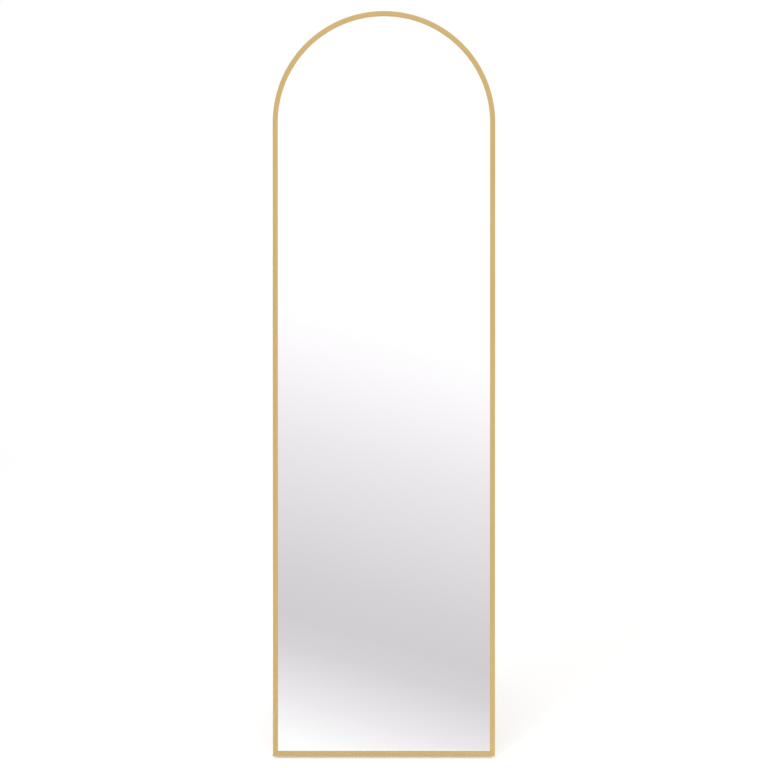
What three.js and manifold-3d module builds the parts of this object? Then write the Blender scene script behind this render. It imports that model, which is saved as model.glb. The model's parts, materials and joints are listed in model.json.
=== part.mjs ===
// An arched full-length floor mirror that leans back on its own folding stand.
//
// A slim aluminium extrusion is bent over the top and mitred to a bottom rail. Its section is an E: a front
// lip over the glass, a middle flange behind the backboard, and a rear flange that closes a channel for the
// corner keys and the cross braces. The braces carry the stand's hinges and the wall hangers.
//
// Millimetres, +Z up. The viewer stands on the -Y side, the floor is z = 0, and the origin is the middle of
// the footprint.
import * as THREE from "three";
import { mergeVertices } from "three/addons/utils/BufferGeometryUtils.js";
import Module from "manifold-3d";

const wasm = await Module();
wasm.setup();

// ---------------------------------------------------------------- sizes

// Outline
const overallWidth = 508;
const overallHeight = 1702; // along the glass
const leanDegrees = 11; // how far the top leans back from upright

// Frame extrusion
const faceWidth = 11.5; // the gold border seen from the front
const lipThickness = 1.6;
const wallThickness = 1.4;
const flangeThickness = 1.4;
const flangeReach = 13; // middle and rear flange, from the outer face inwards
const channelDepth = 13.4; // between the middle and the rear flange
const edgeBreak = 0.5; // chamfer on the extrusion's outer edges

// Glass and its backing
const paneThickness = 4;
const paneArris = 0.5;
const cushionThickness = 2;
const boardThickness = 5;
const paneEdgeRoom = 0.9; // between the glass edge and the extrusion's wall
const seatGap = 0.3; // between two pieces that rest on each other

// Self-tapping pan head screw, the same everywhere
const screwRadius = 1.75;
const screwHeadRadius = 3.5;
const screwHeadHeight = 2.3;
const screwHeadRim = 0.8; // straight part of the head, under its dome
const screwLength = 9.5;
const screwPoint = 1.6;

// Corner keys
const keyLegLength = 45;
const keyTipChamfer = 2.5;
const keyScrewFromCorner = 30;

// Cross braces, rectangular tube
const braceHeight = 36;
const braceWall = 1.5;
const upperBraceDrop = 42; // centre of the upper brace, below the start of the arch
const lowerBraceHeight = 420; // centre of the lower brace, above the bottom edge
const braceEndRoom = 1; // between a brace's end and the extrusion's wall

// Stand hinge
const hingeHeight = 1040; // along the glass, also the centre of the middle brace
const bracketThickness = 2.5;
const bracketHeight = 26;
const bracketCorner = 3;
const bracketWing = 17; // beyond each ear
const earRadius = 9;
const pivotStandOff = 12; // bolt centre from the bracket's plate
const boltRadius = 3;
const boltHeadRadius = 5.25;
const boltHeadHeight = 3.3;
const boltHeadRim = 1;
const boltEndChamfer = 0.6;
const boltTail = 1.5; // beyond the nut
const nutWidth = 10; // across flats
const nutHeight = 6;
const nutCollarHeight = 1.8;
const nutCollarRadius = 4.4;
const washerRadius = 7;
const washerThickness = 1.2;

// Stand, a tube bent to a U
const spreadDegrees = 6.5; // how far the legs lean the other way
const tubeRadius = 8;
const tubeWall = 1.2;
const legSpacing = 280; // between the legs' centre lines
const bendRadius = 45;
const plugCapThickness = 2;
const plugStemLength = 5.5;
const plugStemChamfer = 0.6;
const sleeveRadius = 11;
const sleeveLength = 45;
const sleeveFromBend = 3;

// Wall hangers
const hangerSpacing = 300;
const hangerPivotRise = 10; // ring pivot above the upper brace's centre
const strapWidth = 13;
const strapSheet = 1; // one layer, round the ring
const strapThickness = 2 * strapSheet; // both layers, below the ring
const strapTail = 27; // below the ring pivot
const strapScrewDrop = 21.5; // below the ring pivot
const ringWireRadius = 1.25;
const ringWidth = 20; // centre line to centre line
const ringHeight = 16;
const ringCorner = 2.5;

// Pads
const padLength = 50;
const padDepth = 10.5;
const padBackSetback = 0.5; // from the extrusion's rear face
const padThickness = 1.2; // under the rear edge of the bottom rail
const padFromSide = 60; // pad centre from the outer face of the stile
const bumperRadius = 5;
const bumperHeight = 2.5;
const bumperRim = 1;
const bumperSpreadDegrees = 24; // each bumper, round the arch from the crown

// Fineness of the round shapes
const archSteps = 64;
const bendSteps = 4;
const domeSteps = 3;
const tubeSides = 16;
const sleeveSides = 24;
const roundSides = 20; // bolts, washers and bumpers
const screwSides = 12;
const drillSides = 12;
const wireSides = 8;

// ---------------------------------------------------------------- places

const lean = THREE.MathUtils.degToRad(leanDegrees);
const spread = THREE.MathUtils.degToRad(spreadDegrees);
const archRadius = overallWidth / 2;
const springHeight = overallHeight - archRadius;

// Depths behind the frame's front face
const paneFront = lipThickness + seatGap;
const cushionFront = paneFront + paneThickness + seatGap;
const boardFront = cushionFront + cushionThickness + seatGap;
const middleFlangeFront = boardFront + boardThickness + seatGap;
const channelFront = middleFlangeFront + flangeThickness;
const channelBack = channelFront + channelDepth;
const frameDepth = channelBack + flangeThickness;
const braceFront = channelFront + seatGap;
const braceBack = channelBack - seatGap;
const bracketFront = braceBack + seatGap;
const bracketBack = bracketFront + bracketThickness;
const pivotDepth = bracketBack + pivotStandOff;
const flangeMiddle = (wallThickness + flangeReach) / 2; // where the flange screws sit, from the outer face

// Hinge, along its bolt from the middle of the tube
const earInner = tubeRadius + seatGap + washerThickness + seatGap;
const earOuter = earInner + bracketThickness;
const runningHole = boltRadius + seatGap;
const screwHole = screwRadius + seatGap;

// The leaning frame stands on its wedge pads: its lower front edge is this far above the floor
const floorRise = frameDepth * Math.sin(lean) + padThickness;
const heightOf = (depth, height) => height * Math.cos(lean) - depth * Math.sin(lean) + floorRise;
const reachOf = (depth, height) => height * Math.sin(lean) + depth * Math.cos(lean);

// The legs are as long as they need to be to reach the floor at their own lean
const openAngle = lean + spread;
const legLength = (heightOf(pivotDepth, hingeHeight) - sleeveRadius) / Math.cos(spread);
const sleeveOuter = sleeveRadius / Math.cos(Math.PI / sleeveSides);
const footReach = reachOf(pivotDepth, hingeHeight) + legLength * Math.sin(spread) + sleeveOuter;
const crownReach = reachOf(frameDepth + seatGap + bumperHeight, overallHeight);
const overallDepth = Math.max(footReach, crownReach);

// The open leg stops where the front edge of its end plug meets the bracket's plate
const plugTop = (pivotStandOff - seatGap - tubeRadius * Math.cos(openAngle)) / Math.sin(openAngle);
const tubeTop = plugTop - plugCapThickness - seatGap;

const upperBraceHeight = springHeight - upperBraceDrop;
const ringPivotHeight = upperBraceHeight + hangerPivotRise;
const barrelHole = ringWireRadius + seatGap;
const barrelRadius = barrelHole + strapSheet;
const ringPivotDepth = bracketFront + barrelRadius;

// ---------------------------------------------------------------- materials

const finish = (color, metalness, roughness) =>
  new THREE.MeshStandardMaterial({ color, metalness, roughness });

const goldAnodised = finish(0xcdb074, 1, 0.35);
const mirrorSilver = finish(0xe9ecec, 1, 0.03);
const whiteFoam = finish(0xf1f0ec, 0, 0.95);
const boardBrown = finish(0x9a7650, 0, 0.85);
const millAluminium = finish(0xb9bcbf, 1, 0.45);
const castZinc = finish(0x9d9fa1, 1, 0.55);
const zincPlated = finish(0xc4c6c8, 1, 0.3);
const blackPaint = finish(0x1c1c1e, 0.2, 0.5);
const blackRubber = finish(0x161616, 0, 0.85);
const blackNylon = finish(0x202020, 0, 0.6);
const whiteNylon = finish(0xe6e4de, 0, 0.55);
const clearRubber = finish(0xdfe3e3, 0, 0.4);

// ---------------------------------------------------------------- shapes

const weldDistance = 1e-4;

// A closed mesh as a solid that can be cut and joined, with its faces turned outwards.
function solidOf(geometry) {
  const loose = geometry.index ? geometry.toNonIndexed() : geometry;
  const bare = new THREE.BufferGeometry().setAttribute("position", loose.getAttribute("position"));
  const merged = mergeVertices(bare, weldDistance);
  const faces = [];
  for (let i = 0; i < merged.index.count; i += 3) {
    const [a, b, c] = [0, 1, 2].map((k) => merged.index.getX(i + k));
    if (a !== b && b !== c && c !== a) faces.push(a, b, c);
  }
  const vertProperties = merged.attributes.position.array;
  const made = (triVerts) => new wasm.Manifold(new wasm.Mesh({ numProp: 3, vertProperties, triVerts }));
  const solid = made(new Uint32Array(faces));
  return solid.volume() > 0 ? solid : made(new Uint32Array(faces.reverse()));
}

// A solid back as a flat-shaded three.js geometry.
function geometryOf(solid) {
  const mesh = solid.getMesh();
  const geometry = new THREE.BufferGeometry();
  geometry.setAttribute("position", new THREE.BufferAttribute(mesh.vertProperties, mesh.numProp));
  geometry.setIndex(new THREE.BufferAttribute(mesh.triVerts, 1));
  const flat = geometry.toNonIndexed();
  flat.computeVertexNormals();
  return flat;
}

const joined = (...geometries) => geometries.map(solidOf).reduce((a, b) => a.add(b));
const cutBy = (solid, cutters) => cutters.reduce((left, cutter) => left.subtract(solidOf(cutter)), solid);

// Extrudes a shape drawn in x and z along +Y, starting at the given depth.
function plate(shape, depth, thickness, bevel = 0) {
  const geometry = new THREE.ExtrudeGeometry(shape, {
    depth: thickness - 2 * bevel,
    bevelEnabled: bevel > 0,
    bevelThickness: bevel,
    bevelSize: bevel,
    bevelOffset: -bevel,
    bevelSegments: 1,
    curveSegments: bendSteps,
  });
  const turn = new THREE.Matrix4().makeBasis(
    new THREE.Vector3(1, 0, 0),
    new THREE.Vector3(0, 0, 1),
    new THREE.Vector3(0, -1, 0),
  );
  return geometry.applyMatrix4(turn).translate(0, depth + thickness - bevel, 0);
}

// Extrudes a shape drawn in y and z along X, from one x to another.
function bar(shape, from, to) {
  const geometry = new THREE.ExtrudeGeometry(shape, {
    depth: to - from,
    bevelEnabled: false,
    curveSegments: bendSteps,
  });
  const turn = new THREE.Matrix4().makeBasis(
    new THREE.Vector3(0, 1, 0),
    new THREE.Vector3(0, 0, 1),
    new THREE.Vector3(1, 0, 0),
  );
  return geometry.applyMatrix4(turn).translate(from, 0, 0);
}

// Cylinders along Y and along X, from one place on that axis to another.
function pinAlongY(radius, x, z, from, to, sides = drillSides) {
  const pin = new THREE.CylinderGeometry(radius, radius, to - from, sides);
  return pin.translate(x, (from + to) / 2, z);
}

function pinAlongX(radius, y, z, from, to, sides = roundSides) {
  const pin = new THREE.CylinderGeometry(radius, radius, to - from, sides).rotateZ(Math.PI / 2);
  return pin.translate((from + to) / 2, y, z);
}

function rectangle(left, right, bottom, top) {
  const shape = new THREE.Shape();
  shape.moveTo(left, bottom);
  shape.lineTo(right, bottom);
  shape.lineTo(right, top);
  shape.lineTo(left, top);
  return shape;
}

function roundedRectangle(halfWidth, halfHeight, corner) {
  const shape = new THREE.Shape();
  const [x, y] = [halfWidth - corner, halfHeight - corner];
  shape.absarc(x, -y, corner, -Math.PI / 2, 0);
  shape.absarc(x, y, corner, 0, Math.PI / 2);
  shape.absarc(-x, y, corner, Math.PI / 2, Math.PI);
  shape.absarc(-x, -y, corner, Math.PI, 1.5 * Math.PI);
  return shape;
}

// A regular polygon round a circle, with flats towards both axes when its sides are a multiple of four.
function polygonAround(radius, sides) {
  const half = Math.PI / sides;
  const corner = (i) => {
    const angle = (2 * i + 1) * half;
    return new THREE.Vector2(Math.cos(angle), Math.sin(angle)).multiplyScalar(radius / Math.cos(half));
  };
  return Array.from({ length: sides }, (_, i) => corner(i));
}

// The places along a path in the XZ plane where a swept section stands. At each corner the section lies in
// the mitre plane, so `inward`, its first axis, is longer there than one.
function stationsAlong(points, closed) {
  const count = points.length;
  const rightOf = (from, to) => new THREE.Vector2(to.y - from.y, from.x - to.x).normalize();
  return points.map((point, i) => {
    const before = points[(i + count - 1) % count];
    const after = points[(i + 1) % count];
    const ahead = closed || i < count - 1 ? rightOf(point, after) : rightOf(before, point);
    const behind = closed || i > 0 ? rightOf(before, point) : ahead;
    const inward = ahead.clone().add(behind).divideScalar(1 + ahead.dot(behind));
    return { point, inward };
  });
}

// Sweeps a section, an outline and perhaps a hole drawn in (inward, depth), through stations.
function sweep(outline, hole, stations, closed) {
  const loops = hole ? [outline, hole] : [outline];
  const section = loops.flat();
  const positions = stations.flatMap(({ point, inward }) =>
    section.flatMap((s) => [point.x + s.x * inward.x, s.y, point.y + s.x * inward.y]),
  );
  const size = section.length;
  const faces = [];
  const spans = closed ? stations.length : stations.length - 1;
  for (let k = 0; k < spans; k++) {
    const here = k * size;
    const next = ((k + 1) % stations.length) * size;
    let first = 0;
    for (const loop of loops) {
      loop.forEach((_, i) => {
        const a = first + i;
        const b = first + ((i + 1) % loop.length);
        faces.push(here + a, here + b, next + b, here + a, next + b, next + a);
      });
      first += loop.length;
    }
  }
  if (!closed) {
    const last = (stations.length - 1) * size;
    for (const face of THREE.ShapeUtils.triangulateShape(outline, hole ? [hole] : [])) {
      const corners = face.map((i) => section[i]);
      const [a, b, c] = THREE.ShapeUtils.area(corners) > 0 ? face : [...face].reverse();
      faces.push(c, b, a, last + a, last + b, last + c);
    }
  }
  const geometry = new THREE.BufferGeometry();
  geometry.setAttribute("position", new THREE.Float32BufferAttribute(positions, 3));
  return geometry.setIndex(faces);
}

// A profile turned about +Y. Its points are (radius, height) and start and end on the axis.
const turned = (profile, sides) =>
  new THREE.LatheGeometry(profile.map(([radius, height]) => new THREE.Vector2(radius, height)), sides);

// The profile of a domed head that stands on a flat seat: a straight rim, then a quarter of an ellipse.
function domeProfile(radius, seat, rim, height) {
  const points = [[radius, seat]];
  for (let i = 0; i <= domeSteps; i++) {
    const angle = (i / domeSteps) * (Math.PI / 2);
    const out = i === domeSteps ? 0 : radius * Math.cos(angle);
    points.push([out, seat + rim + (height - rim) * Math.sin(angle)]);
  }
  return points;
}

// ---------------------------------------------------------------- frame

// The outer outline, clockwise from the lower left corner, with the arch as equal steps.
function outlinePoints() {
  const points = [new THREE.Vector2(-archRadius, 0)];
  for (let i = 0; i <= archSteps; i++) {
    const angle = Math.PI * (1 - i / archSteps);
    points.push(new THREE.Vector2(archRadius * Math.cos(angle), springHeight + archRadius * Math.sin(angle)));
  }
  points.push(new THREE.Vector2(archRadius, 0));
  return points;
}

const outline = stationsAlong(outlinePoints(), true);

// The same outline moved inwards, as the shape of the sheets that the frame holds.
const sheetShape = (inset) =>
  new THREE.Shape(outline.map(({ point, inward }) => point.clone().addScaledVector(inward, inset)));

// The extrusion's E section, anticlockwise in (inward, depth).
function frameSection() {
  const corners = [
    [0, edgeBreak],
    [edgeBreak, 0],
    [faceWidth - edgeBreak, 0],
    [faceWidth, edgeBreak],
    [faceWidth, lipThickness],
    [wallThickness, lipThickness],
    [wallThickness, middleFlangeFront],
    [flangeReach, middleFlangeFront],
    [flangeReach, channelFront],
    [wallThickness, channelFront],
    [wallThickness, channelBack],
    [flangeReach, channelBack],
    [flangeReach, frameDepth - edgeBreak],
    [flangeReach - edgeBreak, frameDepth],
    [edgeBreak, frameDepth],
    [0, frameDepth - edgeBreak],
  ];
  return corners.map(([inward, depth]) => new THREE.Vector2(inward, depth));
}

const flangeHole = (x, z) => pinAlongY(screwHole, x, z, channelBack - seatGap, frameDepth + seatGap);

function frameArch(sideScrewHeights) {
  const raise = ({ point, inward }) => ({ point: point.clone().setY(seatGap * Math.SQRT2), inward });
  const stations = outline.map((s, i) => (i === 0 || i === outline.length - 1 ? raise(s) : s));
  const stile = archRadius - flangeMiddle;
  const holes = sideScrewHeights.flatMap((z) => [flangeHole(-stile, z), flangeHole(stile, z)]);
  return cutBy(solidOf(sweep(frameSection(), null, stations, false)), holes);
}

function frameRail(screwPlaces) {
  const stations = [outline[outline.length - 1], outline[0]];
  const holes = screwPlaces.map((x) => flangeHole(x, flangeMiddle));
  return cutBy(solidOf(sweep(frameSection(), null, stations, false)), holes);
}

// An L-shaped block that fills the rear channel on both sides of a mitre.
function cornerKey(side) {
  const inner = wallThickness + seatGap;
  const outer = flangeReach - seatGap;
  const tip = keyTipChamfer;
  const points = [
    [inner, inner],
    [keyLegLength - tip, inner],
    [keyLegLength, inner + tip],
    [keyLegLength, outer - tip],
    [keyLegLength - tip, outer],
    [outer, outer],
    [outer, keyLegLength - tip],
    [outer - tip, keyLegLength],
    [inner + tip, keyLegLength],
    [inner, keyLegLength - tip],
  ];
  const shape = new THREE.Shape(points.map(([x, z]) => new THREE.Vector2(side * (archRadius - x), z)));
  const block = solidOf(plate(shape, braceFront, braceBack - braceFront));
  return cutBy(block, [
    pinAlongY(screwHole, side * (archRadius - flangeMiddle), keyScrewFromCorner, channelFront, channelBack),
    pinAlongY(screwHole, side * (archRadius - keyScrewFromCorner), flangeMiddle, channelFront, channelBack),
  ]);
}

// ---------------------------------------------------------------- braces and fasteners

// A rectangular tube across the back, its ends in the stiles' rear channels, drilled from the back.
function brace(height, drillings) {
  const halfLength = archRadius - wallThickness - braceEndRoom;
  const [bottom, top] = [height - braceHeight / 2, height + braceHeight / 2];
  const shape = rectangle(braceFront, braceBack, bottom, top);
  shape.holes.push(rectangle(braceFront + braceWall, braceBack - braceWall, bottom + braceWall, top - braceWall));
  const holes = drillings.map(([x, z]) => pinAlongY(screwHole, x, z, braceBack - 2 * braceWall, braceBack + seatGap));
  return cutBy(solidOf(bar(shape, -halfLength, halfLength)), holes);
}

// The underside of the head is y = 0, and the shank points to -Y, into the back of the mirror.
function panScrew() {
  const shank = [
    [0, -screwLength],
    [screwRadius, screwPoint - screwLength],
    [screwRadius, 0],
  ];
  return turned([...shank, ...domeProfile(screwHeadRadius, 0, screwHeadRim, screwHeadHeight)], screwSides);
}

// ---------------------------------------------------------------- stand hinge

// A plate with two ears, centred on the leg and on the middle brace. The ears start inside the plate.
function hingeBracket() {
  const base = plate(
    roundedRectangle(earOuter + bracketWing, bracketHeight / 2, bracketCorner),
    bracketFront,
    bracketThickness,
  );
  const ear = new THREE.Shape();
  ear.moveTo(bracketBack - bracketThickness / 2, -earRadius);
  ear.absarc(pivotDepth, 0, earRadius, -Math.PI / 2, Math.PI / 2);
  ear.lineTo(bracketBack - bracketThickness / 2, earRadius);
  const bracket = joined(base, bar(ear, -earOuter, -earInner), bar(ear, earInner, earOuter));
  const wingHole = (side) =>
    pinAlongY(screwHole, side * (earOuter + bracketWing / 2), 0, bracketFront - seatGap, bracketBack + seatGap);
  const boltHole = pinAlongX(runningHole, pivotDepth, 0, -earOuter - seatGap, earOuter + seatGap);
  return cutBy(bracket, [wingHole(-1), wingHole(1), boltHole]);
}

// A button head bolt along X, its head towards the outside of the stand. x = 0 is the middle of the leg.
function pivotBolt() {
  const headSeat = earOuter + seatGap;
  const end = -(headSeat + nutHeight + boltTail);
  const shank = [
    [0, end],
    [boltRadius - boltEndChamfer, end],
    [boltRadius, end + boltEndChamfer],
    [boltRadius, headSeat],
  ];
  const head = domeProfile(boltHeadRadius, headSeat, boltHeadRim, boltHeadHeight);
  return turned([...shank, ...head], roundSides).rotateZ(-Math.PI / 2);
}

// A lock nut: a hexagon with a round collar at its far end.
function lockNut() {
  const seat = -(earOuter + seatGap);
  const end = seat - nutHeight;
  const hexagon = pinAlongX(nutWidth / Math.sqrt(3), 0, 0, end + nutCollarHeight, seat, 6);
  const collar = pinAlongX(nutCollarRadius, 0, 0, end, seat - seatGap);
  const bore = pinAlongX(runningHole, 0, 0, end - seatGap, seat + seatGap);
  return cutBy(joined(hexagon, collar), [bore]);
}

function pivotWasher(side) {
  const middle = side * (tubeRadius + seatGap + washerThickness / 2);
  const disc = pinAlongX(washerRadius, 0, 0, middle - washerThickness / 2, middle + washerThickness / 2);
  const bore = pinAlongX(runningHole, 0, 0, middle - washerThickness, middle + washerThickness);
  return cutBy(solidOf(disc), [bore]);
}

// ---------------------------------------------------------------- stand

// One tube, down the left leg, along the floor and up the right leg. z = 0 is the hinge bolt.
function standTube() {
  const half = legSpacing / 2;
  const path = new THREE.Path();
  path.moveTo(-half, tubeTop);
  path.lineTo(-half, bendRadius - legLength);
  path.absarc(bendRadius - half, bendRadius - legLength, bendRadius, Math.PI, 1.5 * Math.PI);
  path.absarc(half - bendRadius, bendRadius - legLength, bendRadius, 1.5 * Math.PI, 2 * Math.PI);
  path.lineTo(half, tubeTop);
  const points = path.getPoints(bendSteps).filter((p, i, all) => i === 0 || p.distanceTo(all[i - 1]) > weldDistance);
  const wall = polygonAround(tubeRadius, tubeSides);
  const bore = polygonAround(tubeRadius - tubeWall, tubeSides).reverse();
  const tube = solidOf(sweep(wall, bore, stationsAlong(points, false), false));
  const holes = [-half, half].map((leg) =>
    pinAlongX(runningHole, 0, 0, leg - 2 * tubeRadius, leg + 2 * tubeRadius, drillSides),
  );
  return cutBy(tube, holes);
}

// A push-in plug with a flat cap. y = 0 is the end of the tube.
function endPlug() {
  const stem = tubeRadius - tubeWall - seatGap;
  return turned(
    [
      [0, -plugStemLength],
      [stem - plugStemChamfer, -plugStemLength],
      [stem, plugStemChamfer - plugStemLength],
      [stem, seatGap],
      [tubeRadius, seatGap],
      [tubeRadius, seatGap + plugCapThickness],
      [0, seatGap + plugCapThickness],
    ],
    tubeSides,
  );
}

// A rubber sleeve on the floor bar, with one flat side down when the stand is open.
function footSleeve() {
  const half = sleeveLength / 2;
  const outer = pinAlongX(sleeveOuter, 0, 0, -half, half, sleeveSides).rotateX(Math.PI / sleeveSides);
  const bore = pinAlongX(tubeRadius / Math.cos(Math.PI / tubeSides) + seatGap, 0, 0, -sleeveLength, sleeveLength);
  return cutBy(solidOf(outer), [bore]);
}

// ---------------------------------------------------------------- wall hangers

// Sheet folded round the ring's straight side and flat against the brace below it. z = 0 is the pivot.
function hangerStrap() {
  const meet = Math.sqrt(barrelRadius ** 2 - (strapThickness - barrelRadius) ** 2);
  const shape = new THREE.Shape();
  shape.moveTo(0, -strapTail);
  shape.lineTo(strapThickness, -strapTail);
  shape.absarc(barrelRadius, 0, barrelRadius, Math.atan2(-meet, strapThickness - barrelRadius), Math.PI);
  const body = solidOf(bar(shape, -strapWidth / 2, strapWidth / 2));
  return cutBy(body, [
    pinAlongX(barrelHole, barrelRadius, 0, -strapWidth, strapWidth),
    pinAlongY(screwHole, 0, -strapScrewDrop, -seatGap, strapThickness + seatGap),
  ]);
}

// Round wire bent to a D. Its straight side lies on the pivot, and it hangs down.
function hangerRing() {
  const half = ringWidth / 2;
  const bowCentre = half - ringHeight;
  const path = new THREE.Path();
  path.absarc(half - ringCorner, -ringCorner, ringCorner, Math.PI / 2, 0, true);
  path.absarc(0, bowCentre, half, 0, -Math.PI, true);
  path.absarc(ringCorner - half, -ringCorner, ringCorner, Math.PI, Math.PI / 2, true);
  const all = path.getPoints(bendSteps);
  const points = all.filter((p, i) => p.distanceTo(all[(i + all.length - 1) % all.length]) > weldDistance);
  const wire = polygonAround(ringWireRadius, wireSides);
  return sweep(wire, null, stationsAlong(points, true), true);
}

// ---------------------------------------------------------------- pads

// A wedge between the bottom rail and the floor. Its underside is level when the mirror leans back.
function footPad() {
  const back = frameDepth - padBackSetback;
  const front = back - padDepth;
  const floorAt = (depth) => (depth * Math.sin(lean) - floorRise) / Math.cos(lean);
  const shape = new THREE.Shape();
  shape.moveTo(front, floorAt(front));
  shape.lineTo(back, floorAt(back));
  shape.lineTo(back, -seatGap);
  shape.lineTo(front, -seatGap);
  return bar(shape, -padLength / 2, padLength / 2);
}

// A stick-on button, flat against the wall when the mirror leans or hangs there.
function wallBumper() {
  const taper = bumperHeight - bumperRim;
  return turned(
    [
      [0, 0],
      [bumperRadius, 0],
      [bumperRadius, bumperRim],
      [bumperRadius - taper, bumperHeight],
      [0, bumperHeight],
    ],
    roundSides,
  );
}

// ---------------------------------------------------------------- assembly

const mirror = new THREE.Group();

// Everything but the stand's legs and the hanger rings is fixed to this leaning group.
const leaning = new THREE.Group();
leaning.position.set(0, -overallDepth / 2, floorRise);
leaning.rotation.x = -lean;
mirror.add(leaning);

function add(parent, name, shape, material, x = 0, y = 0, z = 0) {
  const geometry = shape.isBufferGeometry ? shape : geometryOf(shape);
  const mesh = new THREE.Mesh(geometry, material);
  mesh.name = name;
  mesh.position.set(x, y, z);
  parent.add(mesh);
}

const sides = [
  ["left", -1],
  ["right", 1],
];
const braces = [
  ["upper", upperBraceHeight],
  ["middle", hingeHeight],
  ["lower", lowerBraceHeight],
];
const braceEnd = archRadius - flangeMiddle;
const wingScrew = earOuter + bracketWing / 2;

add(leaning, "frame_arch", frameArch([keyScrewFromCorner, ...braces.map(([, z]) => z)]), goldAnodised);
add(leaning, "frame_bottom_rail", frameRail([-1, 1].map((s) => s * (archRadius - keyScrewFromCorner))), goldAnodised);

const sheetInset = wallThickness + paneEdgeRoom;
add(leaning, "mirror_pane", plate(sheetShape(sheetInset), paneFront, paneThickness, paneArris), mirrorSilver);
add(leaning, "cushion_sheet", plate(sheetShape(sheetInset), cushionFront, cushionThickness), whiteFoam);
add(leaning, "backboard", plate(sheetShape(sheetInset), boardFront, boardThickness), boardBrown);

for (const [name, height] of braces) {
  const drillings = sides.map(([, side]) => [side * braceEnd, height]);
  for (const [, side] of sides) {
    if (name === "middle") {
      drillings.push([side * (legSpacing / 2 - wingScrew), height], [side * (legSpacing / 2 + wingScrew), height]);
    }
    if (name === "upper") drillings.push([(side * hangerSpacing) / 2, ringPivotHeight - strapScrewDrop]);
  }
  add(leaning, `brace_${name}`, brace(height, drillings), millAluminium);
}

for (const [hand, side] of sides) {
  const flangeSeat = frameDepth + seatGap;
  const stileX = side * (archRadius - flangeMiddle);
  add(leaning, `corner_key_${hand}`, cornerKey(side), castZinc);
  add(leaning, `corner_screw_${hand}_stile`, panScrew(), zincPlated, stileX, flangeSeat, keyScrewFromCorner);
  const railX = side * (archRadius - keyScrewFromCorner);
  add(leaning, `corner_screw_${hand}_rail`, panScrew(), zincPlated, railX, flangeSeat, flangeMiddle);
  for (const [name, height] of braces) {
    add(leaning, `brace_screw_${name}_${hand}`, panScrew(), zincPlated, stileX, flangeSeat, height);
  }
}

for (const [hand, side] of sides) {
  const legX = (side * legSpacing) / 2;
  add(leaning, `hinge_bracket_${hand}`, hingeBracket(), blackPaint, legX, 0, hingeHeight);
  for (const [place, offset] of [
    ["inner", -side * wingScrew],
    ["outer", side * wingScrew],
  ]) {
    const seat = bracketBack + seatGap;
    add(leaning, `bracket_screw_${hand}_${place}`, panScrew(), zincPlated, legX + offset, seat, hingeHeight);
  }
  const boltGroup = new THREE.Group();
  boltGroup.position.set(legX, pivotDepth, hingeHeight);
  boltGroup.rotation.z = side > 0 ? 0 : Math.PI;
  leaning.add(boltGroup);
  add(boltGroup, `pivot_bolt_${hand}`, pivotBolt(), zincPlated);
  add(boltGroup, `lock_nut_${hand}`, lockNut(), zincPlated);
  add(boltGroup, `pivot_washer_${hand}_inner`, pivotWasher(-1), whiteNylon);
  add(boltGroup, `pivot_washer_${hand}_outer`, pivotWasher(1), whiteNylon);
}

// The stand turns about its bolts. At the open angle its feet stand on the floor.
const stand = new THREE.Group();
stand.position.set(0, pivotDepth, hingeHeight);
stand.rotation.x = openAngle;
leaning.add(stand);
add(stand, "stand_tube", standTube(), blackPaint);
for (const [hand, side] of sides) {
  const plug = new THREE.Group();
  plug.position.set((side * legSpacing) / 2, 0, tubeTop);
  plug.rotation.x = Math.PI / 2;
  stand.add(plug);
  add(plug, `end_plug_${hand}`, endPlug(), blackNylon);
  const sleeve = new THREE.Group();
  const barEnd = legSpacing / 2 - bendRadius;
  sleeve.position.set(side * (barEnd - sleeveFromBend - sleeveLength / 2), 0, -legLength);
  sleeve.rotation.x = -spread;
  stand.add(sleeve);
  add(sleeve, `foot_sleeve_${hand}`, footSleeve(), blackRubber);
}

for (const [hand, side] of sides) {
  const x = (side * hangerSpacing) / 2;
  add(leaning, `hanger_strap_${hand}`, hangerStrap(), zincPlated, x, bracketFront, ringPivotHeight);
  const seat = bracketFront + strapThickness + seatGap;
  add(leaning, `hanger_screw_${hand}`, panScrew(), zincPlated, x, seat, ringPivotHeight - strapScrewDrop);
  const ring = new THREE.Group();
  ring.position.set(x, ringPivotDepth, ringPivotHeight);
  ring.rotation.x = lean; // it hangs straight down
  leaning.add(ring);
  add(ring, `hanger_ring_${hand}`, hangerRing(), zincPlated);
}

for (const [hand, side] of sides) {
  add(leaning, `foot_pad_${hand}`, footPad(), clearRubber, side * (archRadius - padFromSide));
  const around = (side * bumperSpreadDegrees * Math.PI) / 180;
  const radius = archRadius - flangeMiddle;
  const [x, z] = [radius * Math.sin(around), springHeight + radius * Math.cos(around)];
  add(leaning, `wall_bumper_${hand}`, wallBumper(), clearRubber, x, frameDepth + seatGap, z);
}

export default mirror;
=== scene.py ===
import json
import math

import bmesh
import bpy
from mathutils import Matrix, Vector


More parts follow.
